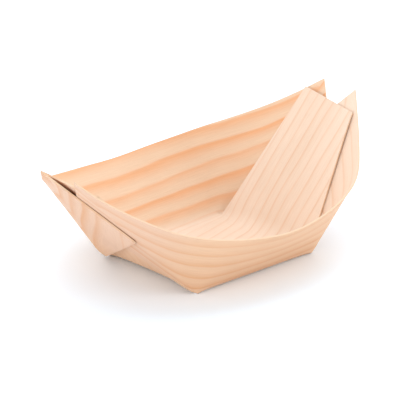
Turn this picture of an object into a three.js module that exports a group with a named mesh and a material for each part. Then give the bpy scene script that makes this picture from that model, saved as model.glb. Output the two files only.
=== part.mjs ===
// Wooden food boat: one thin sheet of pine veneer, cut and folded.
// Millimetres, +Z up, the flat base rests on Z = 0.
// X runs along the boat from end to end, Y runs across it.
// The sheet has two slits at each end. The strip between the slits folds up as a centre tab.
// The flap on each side swings round outside the tab, and the two flaps of an end cross there.
import * as THREE from 'three';

// Overall form
const LENGTH_OVER_TIPS = 110;
const RIM_WIDTH = 77.2;
const TIP_HEIGHT = 38;
const RIM_LOW_HEIGHT = 17.7;
const TIP_SPREAD = 13.9;

// Flat base
const BASE_LENGTH = 44.6;
const BASE_WIDTH = 39.6;
const BASE_OFFSET = -2.9;

// Centre tab
const TAB_LENGTH = 44;
const TAB_TOP_WIDTH = 21.4;
const TAB_SLOPE_DEG = 50.3;
const SLIT_END_WIDTH = 1.5;

// Side flaps: where the lower corner of the end cut lies, as shares of the half length and tip height
const CUT_CORNER_X_SHARE = 0.747;
const CUT_CORNER_CROSSING = 15;
const INNER_CROSSING_SHARE = 0.6;
const CUT_CORNER_Z_SHARE = 0.425;

// Sheet
const THICKNESS = 0.5;
const LAYER_GAP = 0.28;
const WALL_BEND_REACH = 1.8;
const TAB_BEND_REACH = 3.8;

const halfLength = LENGTH_OVER_TIPS / 2;
const halfRim = RIM_WIDTH / 2;
const a = BASE_LENGTH / 2;
const b = BASE_WIDTH / 2;
const near = b - BASE_OFFSET;
const far = b + BASE_OFFSET;
const slope = THREE.MathUtils.degToRad(TAB_SLOPE_DEG);
const layerStep = THICKNESS + LAYER_GAP;
const tabDir = new THREE.Vector3(Math.cos(slope), 0, Math.sin(slope));
const tabOut = new THREE.Vector3(Math.sin(slope), 0, -Math.cos(slope));

// How far a soft bend reaches from its fold line; it dies away towards the slit ends.
function bendReach(reach, distanceToCorner) {
  return reach * (1 - Math.exp(-Math.max(distanceToCorner, 0) / reach));
}

// Lift of a point near a fold. s is negative before the fold line and positive after it.
function foldShift(s, reach, before, after) {
  const shift = new THREE.Vector3();
  if (reach < 1e-6 || Math.abs(s) >= reach) return shift;
  const w = (s + reach) / (2 * reach);
  const x1 = -reach * (1 - w) * (1 - w) - Math.min(s, 0);
  const x2 = reach * w * w - Math.max(s, 0);
  return shift.addScaledVector(before, x1).addScaledVector(after, x2);
}

// The rim of the side at negative Y, from its left tip to its right tip.
// layer is 1 where the flaps lie next to the tabs and 2 where they lie outermost.
function tipPoint(sign, layer) {
  const x = halfLength;
  const z = TIP_HEIGHT;
  const p = new THREE.Vector3(x, -TIP_SPREAD / 2, z);
  const out = p.clone().sub(new THREE.Vector3(a, 0, 0)).dot(tabOut);
  p.addScaledVector(tabOut, layerStep * (layer === 2 ? 2.05 : 1) - out);
  p.x *= sign;
  return p;
}

function cutCorner(sign, layer) {
  const crossing = CUT_CORNER_CROSSING * (layer === 2 ? 1 : INNER_CROSSING_SHARE);
  const p = new THREE.Vector3(halfLength * CUT_CORNER_X_SHARE, crossing, TIP_HEIGHT * CUT_CORNER_Z_SHARE);
  const out = p.clone().sub(new THREE.Vector3(a, 0, 0)).dot(tabOut);
  const wanted = layerStep * (layer === 2 ? 2.7 : 1.1);
  p.addScaledVector(tabOut, wanted - out);
  p.x *= sign;
  return p;
}

function rimShape(sign, layer) {
  const tip = tipPoint(1, layer);
  const rise = TIP_HEIGHT - RIM_LOW_HEIGHT;
  const points = [
    new THREE.Vector3(halfLength * 0.235, -halfRim * 0.971, RIM_LOW_HEIGHT + rise * 0.05),
    new THREE.Vector3(halfLength * 0.42, -halfRim * 0.905, RIM_LOW_HEIGHT + rise * 0.13),
    new THREE.Vector3(halfLength * 0.549, -halfRim * 0.829, RIM_LOW_HEIGHT + rise * 0.213),
    new THREE.Vector3(halfLength * 0.655, -halfRim * 0.725, RIM_LOW_HEIGHT + rise * 0.31),
    new THREE.Vector3(halfLength * 0.80, -halfRim * 0.515, RIM_LOW_HEIGHT + rise * 0.53),
    new THREE.Vector3(halfLength * 0.915, -halfRim * 0.325, RIM_LOW_HEIGHT + rise * 0.77),
    tip,
  ];
  return points.map((p) => new THREE.Vector3(p.x * sign, p.y, p.z));
}

function rimCurve(layer) {
  const left = rimShape(-1, layer).reverse();
  const right = rimShape(1, layer);
  const middle = new THREE.Vector3(0, -halfRim, RIM_LOW_HEIGHT);
  return new THREE.CatmullRomCurve3([...left, middle, ...right], false, 'centripetal');
}

// Evenly graded numbers from 0 to 1, closer together at the start.
function graded(count, power) {
  return Array.from({ length: count + 1 }, (_, i) => (i / count) ** power);
}

function smooth(from, to, value) {
  return THREE.MathUtils.smoothstep(value, from, to);
}

// Mid-surface points and faces of the sheet
const points = [];
const faces = [];

function addPoint(p) {
  points.push(p);
  return points.length - 1;
}

function addQuad(p, q, r, s) {
  if (p === q) {
    faces.push([p, r, s]);
    return;
  }
  const short = points[p].distanceTo(points[r]) <= points[q].distanceTo(points[s]);
  if (short) faces.push([p, q, r], [p, r, s]);
  else faces.push([p, q, s], [q, r, s]);
}

// Base and tabs
const baseColumns = 22;
const tabColumns = 12;

// Distance from a line across the base to its nearer long edge.
function edgeDistance(y) {
  return Math.min(y + near, far - y);
}

function basePoint(x, y) {
  const p = new THREE.Vector3(x, y, 0);
  const sideX = Math.sign(x) || 1;
  const sideY = Math.sign(y) || 1;
  const tabReach = bendReach(TAB_BEND_REACH, edgeDistance(y));
  const outX = new THREE.Vector3(sideX, 0, 0);
  const upTab = new THREE.Vector3(sideX * tabDir.x, 0, tabDir.z);
  p.add(foldShift(Math.abs(x) - a, tabReach, outX, upTab));
  const wallReach = bendReach(WALL_BEND_REACH, a - Math.abs(x));
  const outY = new THREE.Vector3(0, sideY, 0);
  const half = sideY < 0 ? near : far;
  const rise = new THREE.Vector3(0, sideY * (halfRim - half), RIM_LOW_HEIGHT).normalize();
  p.add(foldShift(-edgeDistance(y), wallReach, outY, rise));
  return p;
}

function tabPoint(sign, s, y, rootY) {
  const p = new THREE.Vector3(sign * a, y, 0);
  const outX = new THREE.Vector3(sign, 0, 0);
  const upTab = new THREE.Vector3(sign * tabDir.x, 0, tabDir.z);
  p.addScaledVector(upTab, s);
  p.add(foldShift(s, bendReach(TAB_BEND_REACH, edgeDistance(rootY)), outX, upTab));
  return p;
}

// Rows across the sheet, each given as a share of the tab's half width; the outer two are the base edges.
const rowShares = [1, 0.93, 0.84, 0.68, 0.45, 0.2];
const shares = [...rowShares.map((f) => -f), ...[...rowShares].reverse()];
const rootHalf = b - SLIT_END_WIDTH;
const rows = [-near, ...shares.map((f) => BASE_OFFSET + f * rootHalf), far];
const lastRow = rows.length - 1;

function evenOut(i, count) {
  const t = (2 * i) / count - 1;
  return Math.sign(t) * (1 - (1 - Math.abs(t)) ** 1.35);
}

const columnX = Array.from({ length: baseColumns + 1 }, (_, i) => a * evenOut(i, baseColumns));
const base = columnX.map((x) => rows.map((y) => addPoint(basePoint(x, y))));
for (let i = 0; i < baseColumns; i += 1) {
  for (let j = 0; j < lastRow; j += 1) {
    addQuad(base[i][j], base[i + 1][j], base[i + 1][j + 1], base[i][j + 1]);
  }
}

for (const sign of [-1, 1]) {
  let previous = base[sign < 0 ? 0 : baseColumns];
  for (const f of graded(tabColumns, 1.6).slice(1)) {
    const halfWidth = THREE.MathUtils.lerp(rootHalf, TAB_TOP_WIDTH / 2, f);
    const centre = BASE_OFFSET * (1 - f);
    const next = rows.map((y, j) => {
      if (j === 0 || j === lastRow) return -1;
      return addPoint(tabPoint(sign, f * TAB_LENGTH, centre + shares[j - 1] * halfWidth, y));
    });
    for (let j = 1; j < lastRow - 1; j += 1) {
      if (sign > 0) addQuad(previous[j], next[j], next[j + 1], previous[j + 1]);
      else addQuad(next[j], previous[j], previous[j + 1], next[j + 1]);
    }
    previous = next;
  }
}

// Side walls with their flaps. side is -1 for the wall at negative Y and +1 for the other.
const wallRows = graded(8, 1.35).slice(1);
const flapRays = 15;
const cutRays = 9;
const EVENING_ROUNDS = 4;

function addSide(side) {
  const layer = side < 0 ? 1 : 2;
  const curve = rimCurve(layer);
  curve.arcLengthDivisions = 400;
  const wallShare = 0.31;
  const half = side < 0 ? near : far;
  const rays = [];
  const rayToCorner = (sign, layer, end) => {
    const corner = new THREE.Vector3(sign * a, -half, 0);
    return { corner, sign, layer, end };
  };
  for (let i = 0; i <= cutRays; i += 1) {
    const end = cutCorner(-1, layer).lerp(tipPoint(-1, layer), i / cutRays);
    rays.push(rayToCorner(-1, layer, end));
  }
  for (let i = 1; i < flapRays; i += 1) {
    rays.push(rayToCorner(-1, layer, curve.getPointAt((0.5 - wallShare / 2) * (i / flapRays))));
  }
  for (let i = 0; i <= baseColumns; i += 1) {
    const share = 0.5 + (columnX[i] / a) * (wallShare / 2);
    rays.push({ column: i, end: curve.getPointAt(share) });
  }
  for (let i = flapRays - 1; i >= 1; i -= 1) {
    rays.push(rayToCorner(1, layer, curve.getPointAt(1 - (0.5 - wallShare / 2) * (i / flapRays))));
  }
  for (let i = cutRays; i >= 0; i -= 1) {
    const end = cutCorner(1, layer).lerp(tipPoint(1, layer), i / cutRays);
    rays.push(rayToCorner(1, layer, end));
  }

  const lines = rays.map((ray) => {
    if (ray.column !== undefined) {
      const x = columnX[ray.column];
      const foot = new THREE.Vector3(x, -half, 0);
      const run = ray.end.clone().sub(foot);
      const length = run.length();
      const up = run.clone().normalize();
      const reach = bendReach(WALL_BEND_REACH, a - Math.abs(x));
      const start = base[ray.column][side < 0 ? 0 : lastRow];
      const line = wallRows.map((f) => {
        const p = foot.clone().addScaledVector(up, f * length);
        p.add(foldShift(f * length, reach, new THREE.Vector3(0, -1, 0), up));
        return addPoint(new THREE.Vector3(p.x, p.y * -side, p.z));
      });
      return [start, ...line];
    }
    const start = base[ray.sign < 0 ? 0 : baseColumns][side < 0 ? 0 : lastRow];
    const run = ray.end.clone().sub(ray.corner);
    const length = run.length();
    const along = run.x * ray.sign * tabDir.x + run.z * tabDir.z;
    const angle = THREE.MathUtils.radToDeg(Math.atan2(run.y, along));
    const share = smooth(-30, 6, angle);
    const out = new THREE.Vector3(tabOut.x * ray.sign, 0, tabOut.z);
    const rise = (r) => 1 - Math.exp(-r / (layerStep * 2));
    const line = wallRows.map((f) => {
      const p = ray.corner.clone().addScaledVector(run, f);
      const bulge = layerStep * ray.layer * share * (rise(f * length) - f * rise(length));
      p.addScaledVector(out, bulge);
      return addPoint(new THREE.Vector3(p.x, p.y * -side, p.z));
    });
    return [start, ...line];
  });

  // Even out the kinks between neighbouring lines; the rim and the fold stay where they are.
  for (let round = 0; round < EVENING_ROUNDS; round += 1) {
    for (let k = 1; k < wallRows.length; k += 1) {
      const row = lines.map((line) => points[line[k]].clone());
      for (let i = 1; i < lines.length - 1; i += 1) {
        const middle = row[i - 1].clone().add(row[i + 1]).multiplyScalar(0.5);
        points[lines[i][k]].lerp(middle, 0.5);
      }
    }
  }

  for (let i = 0; i < lines.length - 1; i += 1) {
    for (let k = 0; k < wallRows.length; k += 1) {
      if (side < 0) addQuad(lines[i + 1][k], lines[i][k], lines[i][k + 1], lines[i + 1][k + 1]);
      else addQuad(lines[i][k], lines[i + 1][k], lines[i + 1][k + 1], lines[i][k + 1]);
    }
  }
}

addSide(-1);
addSide(1);

// Give the sheet its thickness and close it along every cut edge.
const clean = faces.filter(([p, q, r]) => p !== q && q !== r && r !== p);
const normals = points.map(() => new THREE.Vector3());
for (const [p, q, r] of clean) {
  const n = points[q].clone().sub(points[p]).cross(points[r].clone().sub(points[p]));
  normals[p].add(n);
  normals[q].add(n);
  normals[r].add(n);
}
const upper = points.map((p, i) => p.clone().addScaledVector(normals[i].normalize(), THICKNESS / 2));
const lower = points.map((p, i) => p.clone().addScaledVector(normals[i], -THICKNESS / 2));
const offset = points.length;
const index = [];
const edges = new Map();
for (const [p, q, r] of clean) {
  index.push(p, q, r);
  index.push(p + offset, r + offset, q + offset);
  for (const [s, t] of [[p, q], [q, r], [r, p]]) {
    edges.set(`${s},${t}`, [s, t]);
  }
}
for (const [s, t] of edges.values()) {
  if (!edges.has(`${t},${s}`)) {
    index.push(s, s + offset, t);
    index.push(t, s + offset, t + offset);
  }
}

const positions = [];
let lowest = Infinity;
for (const p of [...upper, ...lower]) lowest = Math.min(lowest, p.z);
for (const p of [...upper, ...lower]) positions.push(p.x, p.y, p.z - lowest);

const geometry = new THREE.BufferGeometry();
geometry.setAttribute('position', new THREE.Float32BufferAttribute(positions, 3));
geometry.setIndex(index);
geometry.computeVertexNormals();

const veneer = new THREE.MeshStandardMaterial({ color: 0xe8c9a0, roughness: 0.72, metalness: 0 });
const sheet = new THREE.Mesh(geometry, veneer);
sheet.name = 'folded_veneer_sheet';

const group = new THREE.Group();
group.name = 'wooden_food_boat';
group.add(sheet);

export default group;
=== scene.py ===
import math

import bpy
import numpy as np
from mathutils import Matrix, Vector


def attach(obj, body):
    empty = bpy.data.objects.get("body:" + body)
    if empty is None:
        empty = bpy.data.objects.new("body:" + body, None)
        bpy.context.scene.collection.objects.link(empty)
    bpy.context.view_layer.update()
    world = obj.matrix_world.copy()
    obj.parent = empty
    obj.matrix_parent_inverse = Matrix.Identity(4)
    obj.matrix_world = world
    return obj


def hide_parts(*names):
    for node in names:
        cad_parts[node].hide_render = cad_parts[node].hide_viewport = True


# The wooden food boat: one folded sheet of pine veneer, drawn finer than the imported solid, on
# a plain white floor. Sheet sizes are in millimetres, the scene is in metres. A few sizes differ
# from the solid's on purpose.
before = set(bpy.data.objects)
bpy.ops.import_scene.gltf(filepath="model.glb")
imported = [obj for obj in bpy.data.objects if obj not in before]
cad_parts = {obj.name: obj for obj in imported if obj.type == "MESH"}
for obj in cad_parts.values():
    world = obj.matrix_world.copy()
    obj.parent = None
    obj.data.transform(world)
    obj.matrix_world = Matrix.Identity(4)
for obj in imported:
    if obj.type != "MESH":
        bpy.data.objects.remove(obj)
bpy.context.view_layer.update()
MM = 0.001

# ---------------------------------------------------------------- sizes of the folded sheet
LENGTH_OVER_TIPS = 110.0
RIM_WIDTH = 77.2
TIP_HEIGHT = 38.0
RIM_LOW_HEIGHT = 17.7
TIP_SPREAD = 13.9
BASE_LENGTH = 44.6
BASE_WIDTH = 39.6
BASE_OFFSET = -2.9
THICKNESS = 0.5
LAYER_GAP = 0.28
SLIT_END_WIDTH = 1.1
WALL_BEND_REACH = 1.8
TAB_BEND_REACH = 4.8
NO_REACH = 1e-6

# The centre tab. Its end is cut askew. Its near edge is lifted off the flap it rests on, over
# the edge's width; the lift sets in between two shares of the tab's length.
TAB_SLOPE_DEG = 50.3
TAB_LENGTH = 43.3
TAB_END_SKEW = 2.4
TAB_TOP_WIDTH = 22.0
TAB_TOP_SHIFT = -0.3
TAB_EDGE_LIFT = 0.45
TAB_EDGE_WIDTH = 3.0
TAB_LIFT_FROM = 0.25
TAB_LIFT_TO = 0.85

# The rim from beside its lowest point to the tip, as shares of the half length, of the half
# width and of the rise to the tip.
RIM_STATIONS = (
    (0.235, 0.971, 0.05),
    (0.42, 0.905, 0.13),
    (0.549, 0.829, 0.213),
    (0.655, 0.725, 0.31),
    (0.80, 0.515, 0.53),
    (0.915, 0.325, 0.77),
)
RIM_SAMPLES = 1601

# The cut edge of a flap runs from the tip down to this corner, past the middle of the boat.
CUT_CORNER_X_SHARE = 0.747
CUT_CORNER_CROSSING = 15.0
INNER_CROSSING_SHARE = 0.6
CUT_CORNER_Z_SHARE = 0.425

# Layer 1 is the near wall's flap, which lies against the tab. Layer 2 is the far wall's flap,
# outside it. These are their distances from the tab's plane, counted in layer steps.
INNER_LAYER, OUTER_LAYER = 1, 2
TIP_LAYER_STEPS = {INNER_LAYER: 1.0, OUTER_LAYER: 1.85}
CUT_CORNER_LAYER_STEPS = {INNER_LAYER: 1.1, OUTER_LAYER: 1.95}
# A flap moves out to its layer as its lines turn towards the middle of the boat, between these
# angles from the tab's own direction, in degrees. It is out there a few layer steps up the line.
FLAP_TURN_FROM = -30
FLAP_TURN_TO = 6
FLAP_RISE_LAYER_STEPS = 2

# The wall in the flat sheet: its height, and the share of the rim that stands over the base.
WALL_SLANT = 24.5
WALL_SHARE = 0.31

HALF_LENGTH = LENGTH_OVER_TIPS / 2
HALF_RIM = RIM_WIDTH / 2
HALF_BASE = BASE_LENGTH / 2
HALF_BASE_WIDTH = BASE_WIDTH / 2
NEAR = HALF_BASE_WIDTH - BASE_OFFSET
FAR = HALF_BASE_WIDTH + BASE_OFFSET
TAB_ROOT_HALF = HALF_BASE_WIDTH - SLIT_END_WIDTH
SLOPE = math.radians(TAB_SLOPE_DEG)
LAYER_STEP = THICKNESS + LAYER_GAP
FLAP_RISE_REACH = LAYER_STEP * FLAP_RISE_LAYER_STEPS
TAB_DIR = np.array([math.cos(SLOPE), 0.0, math.sin(SLOPE)])
TAB_OUT = np.array([math.sin(SLOPE), 0.0, -math.cos(SLOPE)])

# ---------------------------------------------------------------- fineness of the mesh
BASE_COLUMNS = 56
TAB_COLUMNS = 34
WALL_ROWS = 16
FLAP_RAYS = 44
CUT_RAYS = 18
# Powers above 1 draw the lines closer together at the folds.
BASE_COLUMN_POWER = 1.35
TAB_COLUMN_POWER = 1.6
WALL_ROW_POWER = 1.15
EVENING_ROUNDS = 30
# Where the rows of the base and the tabs lie, from the side edge to the middle.
HALF_ROW_SHARES = [1, 0.97, 0.93, 0.88, 0.82, 0.75, 0.67, 0.58, 0.48, 0.38, 0.28, 0.18, 0.09]

# ---------------------------------------------------------------- the grain on the flat sheet
# On the base and the tabs the grain runs askew: so much sideways per millimetre along the base,
# then a step just past the fold and a slow return along the tab.
GRAIN_SKEW = 0.25
GRAIN_FOLD_STEP = 1.8
GRAIN_FOLD_REACH = 7.0
GRAIN_RETURN = -0.06
# The skew sets in between these distances from the side folds; positive ones are inside them.
GRAIN_SKEW_FROM = -3.0
GRAIN_SKEW_TO = 5.0


def vec(x, y, z):
    return np.array([x, y, z], float)


def unit(v):
    return v / np.linalg.norm(v)


def mirror_x(p, sign):
    return p * np.array([sign, 1.0, 1.0])


def smoothstep(lo, hi, value):
    t = min(max((value - lo) / (hi - lo), 0.0), 1.0)
    return t * t * (3 - 2 * t)


def bend_reach(reach, distance):
    """How far a soft bend reaches from its fold line; it dies away towards the slit ends."""
    return reach * (1 - math.exp(-max(distance, 0.0) / reach))


def fold_shift(s, reach, before, after):
    """Shift of a point near a fold. s is negative before the fold line and positive after it."""
    if reach < NO_REACH or abs(s) >= reach:
        return np.zeros(3)
    w = (s + reach) / (2 * reach)
    x1 = -reach * (1 - w) ** 2 - min(s, 0.0)
    x2 = reach * w * w - max(s, 0.0)
    return before * x1 + after * x2


def on_layer(p, layer_steps):
    """The point moved square to the tab's plane, to so many layer steps outside it."""
    out = float((p - vec(HALF_BASE, 0, 0)) @ TAB_OUT)
    return p + TAB_OUT * (LAYER_STEP * layer_steps - out)


def tip_point(layer):
    return on_layer(vec(HALF_LENGTH, -TIP_SPREAD / 2, TIP_HEIGHT), TIP_LAYER_STEPS[layer])


def cut_corner(layer):
    crossing = CUT_CORNER_CROSSING * (1.0 if layer == OUTER_LAYER else INNER_CROSSING_SHARE)
    p = vec(HALF_LENGTH * CUT_CORNER_X_SHARE, crossing, TIP_HEIGHT * CUT_CORNER_Z_SHARE)
    return on_layer(p, CUT_CORNER_LAYER_STEPS[layer])


def rim_half(layer):
    rise = TIP_HEIGHT - RIM_LOW_HEIGHT
    made = [vec(HALF_LENGTH * x, -HALF_RIM * y, RIM_LOW_HEIGHT + rise * z)
            for x, y, z in RIM_STATIONS]
    return made + [tip_point(layer)]


class Rim:
    """A smooth centripetal curve through the rim's stations, read by its length."""

    def __init__(self, layer):
        left = [mirror_x(p, -1) for p in rim_half(layer)][::-1]
        self.stations = left + [vec(0, -HALF_RIM, RIM_LOW_HEIGHT)] + rim_half(layer)
        self.dense = np.array([self._at(t) for t in np.linspace(0, 1, RIM_SAMPLES)])
        steps = np.linalg.norm(np.diff(self.dense, axis=0), axis=1)
        self.lengths = np.concatenate([[0], np.cumsum(steps)])

    def _at(self, t):
        pts = self.stations
        last = len(pts) - 1
        k = min(int(t * last), last - 1)
        w = t * last - k
        p1, p2 = pts[k], pts[k + 1]
        p0 = pts[k - 1] if k > 0 else 2 * pts[0] - pts[1]
        p3 = pts[k + 2] if k + 2 <= last else 2 * pts[last] - pts[last - 1]
        d0, d1, d2 = (np.linalg.norm(q - p) ** 0.5 for p, q in ((p0, p1), (p1, p2), (p2, p3)))
        m1 = ((p1 - p0) / d0 - (p2 - p0) / (d0 + d1) + (p2 - p1) / d1) * d1
        m2 = ((p2 - p1) / d1 - (p3 - p1) / (d1 + d2) + (p3 - p2) / d2) * d1
        c2 = -3 * p1 + 3 * p2 - 2 * m1 - m2
        c3 = 2 * p1 - 2 * p2 + m1 + m2
        return p1 + m1 * w + c2 * w * w + c3 * w ** 3

    def at(self, share):
        s = share * self.lengths[-1]
        return np.array([np.interp(s, self.lengths, self.dense[:, i]) for i in range(3)])

    def sheet_u(self, share):
        return (share - 0.5) * self.lengths[-1]


# ---------------------------------------------------------------- mid-surface of the sheet
# Each point has its place in space and its place (u, v) on the flat sheet.
points, flat, quads = [], [], []


def add_point(p, u, v):
    points.append(p)
    flat.append((u, v))
    return len(points) - 1


def add_quad(p, q, r, s):
    quads.append((p, r, s) if p == q else (p, q, r, s))


def edge_distance(y):
    return min(y + NEAR, FAR - y)


def base_point(x, y):
    side_x = 1.0 if x >= 0 else -1.0
    side_y = 1.0 if y >= 0 else -1.0
    half = NEAR if side_y < 0 else FAR
    up_tab = vec(side_x * TAB_DIR[0], 0, TAB_DIR[2])
    up_wall = unit(vec(0, side_y * (HALF_RIM - half), RIM_LOW_HEIGHT))
    tab_reach = bend_reach(TAB_BEND_REACH, edge_distance(y))
    wall_reach = bend_reach(WALL_BEND_REACH, HALF_BASE - abs(x))
    p = vec(x, y, 0) + fold_shift(abs(x) - HALF_BASE, tab_reach, vec(side_x, 0, 0), up_tab)
    return p + fold_shift(-edge_distance(y), wall_reach, vec(0, side_y, 0), up_wall)


def tab_point(sign, s, y, root_y):
    up_tab = vec(sign * TAB_DIR[0], 0, TAB_DIR[2])
    reach = bend_reach(TAB_BEND_REACH, edge_distance(root_y))
    shift = fold_shift(s, reach, vec(sign, 0, 0), up_tab)
    return vec(sign * HALF_BASE, y, 0) + up_tab * s + shift


def column_share(i):
    t = 2 * i / BASE_COLUMNS - 1
    return math.copysign(1 - (1 - abs(t)) ** BASE_COLUMN_POWER, t)


row_shares = [-f for f in HALF_ROW_SHARES] + [0.0] + HALF_ROW_SHARES[::-1]
rows = [-NEAR] + [BASE_OFFSET + f * TAB_ROOT_HALF for f in row_shares] + [FAR]
last_row = len(rows) - 1
column_x = [HALF_BASE * column_share(i) for i in range(BASE_COLUMNS + 1)]
wall_steps = [(k / WALL_ROWS) ** WALL_ROW_POWER for k in range(1, WALL_ROWS + 1)]
base = [[add_point(base_point(x, y), x, y) for y in rows] for x in column_x]
for i in range(BASE_COLUMNS):
    for j in range(last_row):
        add_quad(base[i][j], base[i + 1][j], base[i + 1][j + 1], base[i][j + 1])


def add_tab(sign):
    """The centre tab at one end. sign is -1 for the end at negative X and +1 for the other."""
    previous = base[0 if sign < 0 else BASE_COLUMNS]
    for k in range(1, TAB_COLUMNS + 1):
        f = (k / TAB_COLUMNS) ** TAB_COLUMN_POWER
        half_width = TAB_ROOT_HALF + (TAB_TOP_WIDTH / 2 - TAB_ROOT_HALF) * f
        centre = BASE_OFFSET * (1 - f) + TAB_TOP_SHIFT * f
        here = [-1] * (last_row + 1)
        for j in range(1, last_row):
            share = row_shares[j - 1]
            y = centre + share * half_width
            s = f * (TAB_LENGTH + TAB_END_SKEW * f * (share + 1) / 2)
            to_edge = y - (centre - half_width)
            lift = TAB_EDGE_LIFT * smoothstep(TAB_LIFT_FROM, TAB_LIFT_TO, f)
            lift = lift * smoothstep(TAB_EDGE_WIDTH, 0, to_edge)
            p = tab_point(sign, s, y, rows[j]) - mirror_x(TAB_OUT, sign) * lift
            here[j] = add_point(p, sign * (HALF_BASE + s), y)
        for j in range(1, last_row - 1):
            if sign > 0:
                add_quad(previous[j], here[j], here[j + 1], previous[j + 1])
            else:
                add_quad(here[j], previous[j], previous[j + 1], here[j + 1])
        previous = here


def side_rays(rim, layer):
    """The upper ends of a side's lines, from one cut edge round the rim to the other.

    Each is (sign, end, end_u, end_v, column): the boat's end it belongs to, the point, its
    place on the flat sheet counted from the side's fold, and its column of the base if it
    stands over the base.
    """
    def cut_ray(sign, f):
        tip, corner = mirror_x(tip_point(layer), sign), mirror_x(cut_corner(layer), sign)
        end_u = rim.sheet_u(0.0 if sign < 0 else 1.0)
        drop = np.linalg.norm(tip - corner)
        return sign, corner + (tip - corner) * f, end_u, WALL_SLANT - drop * (1 - f), None

    def rim_ray(sign, share, column=None):
        return sign, rim.at(share), rim.sheet_u(share), WALL_SLANT, column

    flap_share = 0.5 - WALL_SHARE / 2
    rays = [cut_ray(-1, i / CUT_RAYS) for i in range(CUT_RAYS + 1)]
    rays += [rim_ray(-1, flap_share * i / FLAP_RAYS) for i in range(1, FLAP_RAYS)]
    rays += [rim_ray(0, 0.5 + x / HALF_BASE * WALL_SHARE / 2, i)
             for i, x in enumerate(column_x)]
    rays += [rim_ray(1, 1 - flap_share * i / FLAP_RAYS) for i in range(FLAP_RAYS - 1, 0, -1)]
    rays += [cut_ray(1, i / CUT_RAYS) for i in range(CUT_RAYS, -1, -1)]
    return rays


def wall_line(end, half, x):
    """The points of a line that stands over the base at x."""
    foot = vec(x, -half, 0)
    length = np.linalg.norm(end - foot)
    up = unit(end - foot)
    reach = bend_reach(WALL_BEND_REACH, HALF_BASE - abs(x))
    return [foot + up * (f * length) + fold_shift(f * length, reach, vec(0, -1, 0), up)
            for f in wall_steps]


def flap_line(end, half, sign, layer):
    """The points of a line that fans out from a slit end and moves out to its layer."""
    foot = vec(sign * HALF_BASE, -half, 0)
    run = end - foot
    length = np.linalg.norm(run)
    along_tab = run[0] * sign * TAB_DIR[0] + run[2] * TAB_DIR[2]
    angle = math.degrees(math.atan2(run[1], along_tab))
    share = smoothstep(FLAP_TURN_FROM, FLAP_TURN_TO, angle)
    out = mirror_x(TAB_OUT, sign)
    top = 1 - math.exp(-length / FLAP_RISE_REACH)
    line = []
    for f in wall_steps:
        rise = 1 - math.exp(-f * length / FLAP_RISE_REACH)
        line.append(foot + run * f + out * (LAYER_STEP * layer * share * (rise - f * top)))
    return line


def add_side(side):
    """A side wall and its two flaps. side is -1 for the wall at negative Y, +1 for the other."""
    layer = INNER_LAYER if side < 0 else OUTER_LAYER
    half = NEAR if side < 0 else FAR
    edge_row = 0 if side < 0 else last_row
    lines = []
    for sign, end, end_u, end_v, column in side_rays(Rim(layer), layer):
        if column is None:
            start = base[0 if sign < 0 else BASE_COLUMNS][edge_row]
            foot_u = sign * HALF_BASE
            placed = flap_line(end, half, sign, layer)
        else:
            start = base[column][edge_row]
            foot_u = column_x[column]
            placed = wall_line(end, half, foot_u)
        line = [start]
        for f, p in zip(wall_steps, placed):
            u = foot_u + (end_u - foot_u) * f
            v = side * (half + end_v * f)
            line.append(add_point(p * np.array([1, -side, 1]), u, v))
        lines.append(line)
    # Even out the kinks between neighbouring lines; the rim and the fold stay where they are.
    for k in range(1, WALL_ROWS):
        row = np.array([points[line[k]] for line in lines])
        for _ in range(EVENING_ROUNDS):
            row[1:-1] = 0.5 * row[1:-1] + 0.25 * (row[:-2] + row[2:])
        for line, p in zip(lines, row):
            points[line[k]] = p
    for one, two in zip(lines, lines[1:]):
        if side < 0:
            one, two = two, one
        for k in range(WALL_ROWS):
            add_quad(one[k], two[k], two[k + 1], one[k + 1])


for end_sign in (-1, 1):
    add_tab(end_sign)
for side_sign in (-1, 1):
    add_side(side_sign)

# ---------------------------------------------------------------- thickness and cut edges
mid = np.array(points)
normals = np.zeros_like(mid)
for face in quads:
    corners = mid[list(face)]
    n = np.cross(corners[1] - corners[0], corners[2] - corners[0])
    if len(face) == 4:
        n = n + np.cross(corners[2] - corners[0], corners[3] - corners[0])
    for k in face:
        normals[k] += n
normals /= np.linalg.norm(normals, axis=1)[:, None]
count = len(mid)
upper = mid + normals * THICKNESS / 2
lower = mid - normals * THICKNESS / 2
verts = np.vstack([upper, lower])
faces, is_edge = [], []
directed = set()
for face in quads:
    directed.update(zip(face, face[1:] + face[:1]))
    faces.append(face)
    faces.append(tuple(k + count for k in face[::-1]))
    is_edge += [0.0, 0.0]
cut_edges = sorted((s, t) for s, t in directed if (t, s) not in directed)
for s, t in cut_edges:
    faces.append((s, s + count, t + count, t))
    is_edge.append(1.0)
verts[:, 2] -= verts[:, 2].min()
verts *= MM

mesh = bpy.data.meshes.new("folded_sheet")
mesh.from_pydata([tuple(p) for p in verts], [], faces)
mesh.update()
sheet = bpy.data.objects.new("veneer_boat", mesh)
bpy.context.scene.collection.objects.link(sheet)


def grain_lane(u, v):
    """Where a point of the flat sheet lies across the grain."""
    weight = smoothstep(GRAIN_SKEW_FROM, GRAIN_SKEW_TO, edge_distance(v))
    past = max(abs(u) - HALF_BASE, 0.0)
    skew = GRAIN_SKEW * min(abs(u), HALF_BASE) + GRAIN_RETURN * past
    skew += GRAIN_FOLD_STEP * (1 - math.exp(-past / GRAIN_FOLD_REACH))
    return v - weight * skew * (1 if u > 0 else -1)


def attribute(name, kind, domain, key, values):
    mesh.attributes.new(name, kind, domain).data.foreach_set(key, values)


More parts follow.
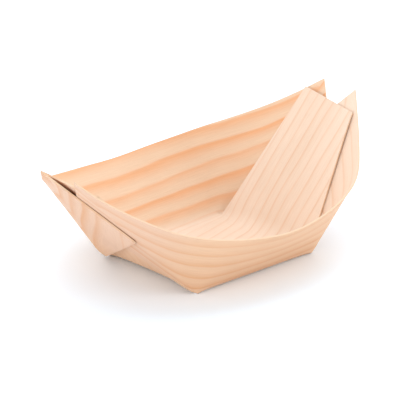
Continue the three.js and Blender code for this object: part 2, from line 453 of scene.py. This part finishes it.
# The material reads the place along the sheet, across its grain and across the sheet, in
# millimetres, then which points are on the underside and which faces are cut edges.
lanes = np.array([(u, grain_lane(u, v), v) for u, v in flat])
both_sides = np.vstack([lanes, lanes]).astype(np.float32)
is_under = np.concatenate([np.zeros(count), np.ones(count)]).astype(np.float32)
attribute("sheet_mm", "FLOAT_VECTOR", "POINT", "vector", both_sides.ravel())
attribute("cut_edge", "FLOAT", "FACE", "value", np.array(is_edge, np.float32))
attribute("underside", "FLOAT", "POINT", "value", is_under)

# The fans of thin faces at the four slit ends stay flat, so that their shading doesn't smear.
slit_ends = {base[i][j] + shift
             for i in (0, BASE_COLUMNS) for j in (0, last_row) for shift in (0, count)}
smooth = [not slit_ends.intersection(face) for face in faces]
mesh.polygons.foreach_set("use_smooth", smooth)
border = {tuple(sorted(e)) for e in cut_edges}
border |= {(s + count, t + count) for s, t in border}
is_sharp = [tuple(sorted(e.vertices)) in border for e in mesh.edges]
attribute("sharp_edge", "BOOLEAN", "EDGE", "value", is_sharp)
mesh.update()

# ---------------------------------------------------------------- pine veneer material
# Early and late wood; the inside paler, which is painted light where it faces the lamps; the far
# wall's inside and its late wood warmer, which is painted shade and warm bounced light; the cut
# edges; and the outside towards the ends lighter, which is painted light.
EARLY = (0.860, 0.598, 0.415)
LATE = (0.77, 0.410, 0.205)
LIT_INSIDE = (0.895, 0.715, 0.580)
SHADED_FAR_INSIDE = (0.875, 0.640, 0.460)
SHADED_FAR_INSIDE_LATE = (0.875, 0.440, 0.215)
EDGE = (0.86, 0.640, 0.440)
LIT_FLAP_OUTSIDE = (0.840, 0.600, 0.460)
EDGE_AMOUNT = 0.6
# Where the painted light on the flaps' outside sets in along the sheet, and over how many
# millimetres it grows to full.
FLAP_LIGHT_START = 28.0
FLAP_LIGHT_REACH = 16.0

# Growth rings. Base and tabs have more of them, and each ramp gives the depth of colour from
# one ring's start to the next.
RING_SPACING = 4.8
MIDDLE_EXTRA_RINGS = 0.40
SLOW_WANDER = 5.0
QUICK_WANDER = 1.6
BROAD_RING = ((0.0, 0.22), (0.10, 0.0), (0.34, 0.08), (0.62, 0.55), (0.84, 1.0),
              (0.94, 0.85), (1.0, 0.22))
THIN_RING = ((0.0, 0.30), (0.07, 0.06), (0.30, 0.0), (0.66, 0.12), (0.84, 0.42),
             (0.93, 1.0), (1.0, 0.30))
RING_STRENGTH_SPAN, RING_STRENGTH_LEAST = 0.9, 0.15
WALL_LINE_SPAN, LINE_LEAST = 0.60, 0.66
WALL_FADE = 0.25
FAR_FADE_LEAD = 1.0
FAR_FADE_ROUNDING = 0.1
NEAR_WALL_MOST = 0.55

# Light and dark ends of the finer variations, with where they lie on their noise.
FIBRE_TINT = ((0.30, (0.955, 0.930, 0.905)), (0.70, (1.03, 1.035, 1.04)))
PATCH_TINT = ((0.30, (0.97, 0.95, 0.93)), (0.70, (1.02, 1.03, 1.04)))
PORE_TINT = ((0.26, (0.86, 0.80, 0.74)), (0.36, (1.0, 1.0, 1.0)))
PORE_AMOUNT = 0.45

SPECULAR = 0.30
ROUGH_LEAST, ROUGH_BY_FIBRE, ROUGH_BY_LINE = 0.52, 0.16, -0.08
BUMP_BY_FIBRE, BUMP_BY_PORES, BUMP_BY_LINE = 0.6, 0.5, 0.5
BUMP_STRENGTH = 0.28
BUMP_DISTANCE = 0.00012

MIX_FACTOR, MIX_FIRST, MIX_SECOND, MIX_RESULT = 0, 6, 7, 2


def feed(tree, socket, value):
    """Give a socket a number, a colour or the output of another node."""
    if isinstance(value, (int, float)):
        socket.default_value = value
    elif isinstance(value, tuple):
        socket.default_value = (*value, 1)
    else:
        tree.links.new(value, socket)


def math_node(tree, operation, *values):
    made = tree.nodes.new("ShaderNodeMath")
    made.operation = operation
    for socket, value in zip(made.inputs, values):
        feed(tree, socket, value)
    return made.outputs[0]


def clamp(tree, value, low, high):
    return math_node(tree, "MINIMUM", math_node(tree, "MAXIMUM", value, low), high)


def read_attribute(tree, name):
    made = tree.nodes.new("ShaderNodeAttribute")
    made.attribute_name = name
    return made.outputs


def ramp(tree, fac, stops):
    made = tree.nodes.new("ShaderNodeValToRGB")
    elements = made.color_ramp.elements
    while len(elements) > 1:
        elements.remove(elements[-1])
    for k, (position, value) in enumerate(stops):
        element = elements[0] if k == 0 else elements.new(position)
        element.position = position
        element.color = (*value, 1) if isinstance(value, tuple) else (value, value, value, 1)
    tree.links.new(fac, made.inputs["Fac"])
    return made.outputs["Color"]


def mix(tree, fac, first, second, blend="MIX"):
    made = tree.nodes.new("ShaderNodeMix")
    made.data_type = "RGBA"
    made.blend_type = blend
    for slot, value in ((MIX_FACTOR, fac), (MIX_FIRST, first), (MIX_SECOND, second)):
        feed(tree, made.inputs[slot], value)
    return made.outputs[MIX_RESULT]


def pine_veneer():
    made = bpy.data.materials.new("pine_veneer")
    made.use_nodes = True
    tree = made.node_tree
    shader = tree.nodes["Principled BSDF"]
    parts = tree.nodes.new("ShaderNodeSeparateXYZ")
    tree.links.new(read_attribute(tree, "sheet_mm")["Vector"], parts.inputs[0])
    along, lane, across = parts.outputs
    under = read_attribute(tree, "underside")["Fac"]
    cut = read_attribute(tree, "cut_edge")["Fac"]

    def calc(operation, *values):
        return math_node(tree, operation, *values)

    def grain_noise(along_scale, other_scale, seed, detail, roughness, other=lane):
        """Noise that is stretched along the sheet. other is the value that runs across it."""
        place = tree.nodes.new("ShaderNodeCombineXYZ")
        feed(tree, place.inputs[0], calc("MULTIPLY", along, along_scale))
        feed(tree, place.inputs[1], calc("MULTIPLY", other, other_scale))
        feed(tree, place.inputs[2], seed)
        texture = tree.nodes.new("ShaderNodeTexNoise")
        texture.inputs["Scale"].default_value = 1.0
        texture.inputs["Detail"].default_value = detail
        texture.inputs["Roughness"].default_value = roughness
        tree.links.new(place.outputs[0], texture.inputs["Vector"])
        return texture.outputs["Fac"]

    # Growth rings: lines along the sheet that wander and vary in spacing and strength.
    slow = grain_noise(0.011, 0.055, seed=3.1, detail=2.0, roughness=0.5)
    waver = grain_noise(0.05, 0.11, seed=8.4, detail=1.0, roughness=0.4)
    moved = calc("MULTIPLY_ADD", calc("SUBTRACT", slow, 0.5), SLOW_WANDER, lane)
    moved = calc("MULTIPLY_ADD", calc("SUBTRACT", waver, 0.5), QUICK_WANDER, moved)
    middle = clamp(tree, moved, -NEAR, FAR)
    moved = calc("MULTIPLY_ADD", middle, MIDDLE_EXTRA_RINGS, moved)
    ring = calc("DIVIDE", moved, RING_SPACING)
    phase = calc("FRACT", ring)
    number = calc("FLOOR", ring)
    own = grain_noise(0.006, 7.31, seed=0.5, detail=0.0, roughness=0.5, other=number)
    strength = calc("MULTIPLY_ADD", own, RING_STRENGTH_SPAN, RING_STRENGTH_LEAST)

    # The far wall and, on its outside only, the near wall: 0 on the base, rising at the fold.
    past_far = calc("MULTIPLY", calc("SUBTRACT", across, FAR - FAR_FADE_LEAD), WALL_FADE)
    far_side = calc("SMOOTH_MIN", calc("MAXIMUM", past_far, 0.0), 1.0, FAR_FADE_ROUNDING)
    past_near = calc("MULTIPLY", calc("SUBTRACT", -NEAR, across), WALL_FADE)
    near_side = calc("MULTIPLY", clamp(tree, past_near, 0.0, NEAR_WALL_MOST), under)
    on_wall = calc("MAXIMUM", far_side, near_side)
    soft_line = mix(tree, on_wall, ramp(tree, phase, THIN_RING), ramp(tree, phase, BROAD_RING))
    line_amount = calc("MULTIPLY", calc("MULTIPLY", soft_line, strength),
                       calc("MULTIPLY_ADD", on_wall, WALL_LINE_SPAN, LINE_LEAST))

    # Fine fibres and pores, long and thin, and broad soft patches.
    fibre = grain_noise(0.16, 5.2, seed=1.7, detail=3.0, roughness=0.65)
    pores = grain_noise(0.55, 14.0, seed=6.2, detail=2.0, roughness=0.6)
    patch = grain_noise(0.022, 0.06, seed=11.3, detail=2.0, roughness=0.5)

    # Painted light: the inside, which faces the lamps, gets a paler copy of the wood's colour.
    colour = mix(tree, under, LIT_INSIDE, EARLY)
    # Painted light: the outside towards the ends, where the flaps get less light, is made
    # lighter.
    flap_light_amount = calc("SUBTRACT", calc("ABSOLUTE", along), FLAP_LIGHT_START)
    flap_light_amount = calc("MULTIPLY", flap_light_amount, 1 / FLAP_LIGHT_REACH)
    flap_light_amount = calc("MULTIPLY", clamp(tree, flap_light_amount, 0.0, 1.0), under)
    colour = mix(tree, flap_light_amount, colour, LIT_FLAP_OUTSIDE)
    # Painted shade and warm bounced light: the far wall's inside and its late wood get a deeper,
    # warmer copy of the colour.
    far_shade_amount = calc("MULTIPLY", far_side, calc("SUBTRACT", 1.0, under))
    colour = mix(tree, far_shade_amount, colour, SHADED_FAR_INSIDE)
    colour = mix(tree, line_amount, colour, mix(tree, far_shade_amount, LATE, SHADED_FAR_INSIDE_LATE))
    colour = mix(tree, 1.0, colour, ramp(tree, fibre, FIBRE_TINT), "MULTIPLY")
    colour = mix(tree, 1.0, colour, ramp(tree, patch, PATCH_TINT), "MULTIPLY")
    flecked = mix(tree, 1.0, colour, ramp(tree, pores, PORE_TINT), "MULTIPLY")
    colour = mix(tree, PORE_AMOUNT, colour, flecked)
    colour = mix(tree, calc("MULTIPLY", cut, EDGE_AMOUNT), colour, EDGE)
    tree.links.new(colour, shader.inputs["Base Color"])

    rough = calc("MULTIPLY_ADD", fibre, ROUGH_BY_FIBRE, ROUGH_LEAST)
    rough = calc("MULTIPLY_ADD", line_amount, ROUGH_BY_LINE, rough)
    tree.links.new(rough, shader.inputs["Roughness"])
    shader.inputs["Specular IOR Level"].default_value = SPECULAR

    height = calc("MULTIPLY_ADD", pores, BUMP_BY_PORES, calc("MULTIPLY", fibre, BUMP_BY_FIBRE))
    height = calc("MULTIPLY_ADD", soft_line, BUMP_BY_LINE, height)
    bump = tree.nodes.new("ShaderNodeBump")
    bump.inputs["Strength"].default_value = BUMP_STRENGTH
    bump.inputs["Distance"].default_value = BUMP_DISTANCE
    tree.links.new(height, bump.inputs["Height"])
    tree.links.new(bump.outputs["Normal"], shader.inputs["Normal"])
    return made


sheet.data.materials.append(pine_veneer())
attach(sheet, "root")
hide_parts("folded_veneer_sheet")

# ---------------------------------------------------------------- floor, world and lamps
FLOOR_HALF = 4.0
FLOOR_DROP = 0.0001
# The floor's colour as other rays meet it, and as the camera sees it: bright enough that it
# is white away from the boat, and bluer so that the wood's warm light doesn't tint the shadow.
FLOOR_BOUNCE = (0.88, 0.88, 0.88)
FLOOR_SEEN = (1.00, 1.13, 1.25)
# How strongly the world lights the scene. The camera sees it at strength 1, which is white.
WORLD_LIGHT = 0.73
NEUTRAL = (1.0, 1.0, 1.0)
SOFTBOX_WARM = (1.0, 0.99, 0.98)

floor_mesh = bpy.data.meshes.new("floor")
floor_corners = [(-FLOOR_HALF, -FLOOR_HALF, 0), (FLOOR_HALF, -FLOOR_HALF, 0),
                 (FLOOR_HALF, FLOOR_HALF, 0), (-FLOOR_HALF, FLOOR_HALF, 0)]
floor_mesh.from_pydata(floor_corners, [], [(0, 1, 2, 3)])
floor = bpy.data.objects.new("floor", floor_mesh)
bpy.context.scene.collection.objects.link(floor)
floor.location.z = -FLOOR_DROP
floor_material = bpy.data.materials.new("floor_white")
floor_material.use_nodes = True
floor_tree = floor_material.node_tree
floor_tree.nodes.clear()
ray = floor_tree.nodes.new("ShaderNodeLightPath").outputs
seen = math_node(floor_tree, "MAXIMUM", ray["Is Camera Ray"], ray["Is Glossy Ray"])
diffuse = floor_tree.nodes.new("ShaderNodeBsdfDiffuse")
floor_tree.links.new(mix(floor_tree, seen, FLOOR_BOUNCE, FLOOR_SEEN), diffuse.inputs["Color"])
output = floor_tree.nodes.new("ShaderNodeOutputMaterial")
floor_tree.links.new(diffuse.outputs[0], output.inputs["Surface"])
floor.data.materials.append(floor_material)

world = bpy.data.worlds.new("studio")
bpy.context.scene.world = world
world.use_nodes = True
world_tree = world.node_tree
world_tree.nodes.clear()
ray = world_tree.nodes.new("ShaderNodeLightPath").outputs
seen = math_node(world_tree, "MAXIMUM", ray["Is Glossy Ray"], ray["Is Transmission Ray"])
seen = math_node(world_tree, "MAXIMUM", ray["Is Camera Ray"], seen)
light = math_node(world_tree, "MULTIPLY_ADD", seen, 1.0 - WORLD_LIGHT, WORLD_LIGHT)
background = world_tree.nodes.new("ShaderNodeBackground")
background.inputs["Color"].default_value = (*NEUTRAL, 1)
world_tree.links.new(light, background.inputs["Strength"])
output = world_tree.nodes.new("ShaderNodeOutputWorld")
world_tree.links.new(background.outputs[0], output.inputs["Surface"])


def area_lamp(name, place, target, size, energy, colour):
    lamp = bpy.data.lights.new(name, "AREA")
    lamp.shape = "DISK"
    lamp.size = size
    lamp.energy = energy
    lamp.color = colour
    holder = bpy.data.objects.new(name, lamp)
    bpy.context.scene.collection.objects.link(holder)
    holder.location = place
    holder.rotation_mode = "QUATERNION"
    holder.rotation_quaternion = (Vector(target) - Vector(place)).to_track_quat("-Z", "Y")


area_lamp("top_softbox", place=(0.30, 0.45, 0.90), target=(0, 0, 0),
          size=1.5, energy=7.3, colour=NEUTRAL)
area_lamp("front_softbox", place=(0.66, -0.98, 0.20), target=(0, 0, 0.015),
          size=0.8, energy=5.1, colour=SOFTBOX_WARM)
area_lamp("left_softbox", place=(-1.05, -0.16, 0.14), target=(0, 0, 0.015),
          size=0.9, energy=4.8, colour=SOFTBOX_WARM)

# ---------------------------------------------------------------- camera at the photo's angle
AZIMUTH = 0.73612
ELEVATION = 0.38537
DISTANCE = 1.3849
TARGET = Vector((-0.002612, -0.001941, 0.017359))
FOCAL_PIXELS = 4764.29
FRAME_PIXELS = 400
SENSOR_WIDTH = 36.0
CLIP_END = 20.0
to_camera = Vector((-math.sin(AZIMUTH) * math.cos(ELEVATION),
                    -math.cos(AZIMUTH) * math.cos(ELEVATION),
                    math.sin(ELEVATION)))
camera_data = bpy.data.cameras.new("photo_view")
camera = bpy.data.objects.new("photo_view", camera_data)
bpy.context.scene.collection.objects.link(camera)
camera_data.sensor_width = SENSOR_WIDTH
camera_data.lens = SENSOR_WIDTH * FOCAL_PIXELS / FRAME_PIXELS
camera_data.clip_end = CLIP_END
camera.location = TARGET + to_camera * DISTANCE
camera.rotation_mode = "QUATERNION"
camera.rotation_quaternion = (-to_camera).to_track_quat("-Z", "Y")
bpy.context.scene.camera = camera
bpy.context.scene.view_settings.view_transform = "Standard"
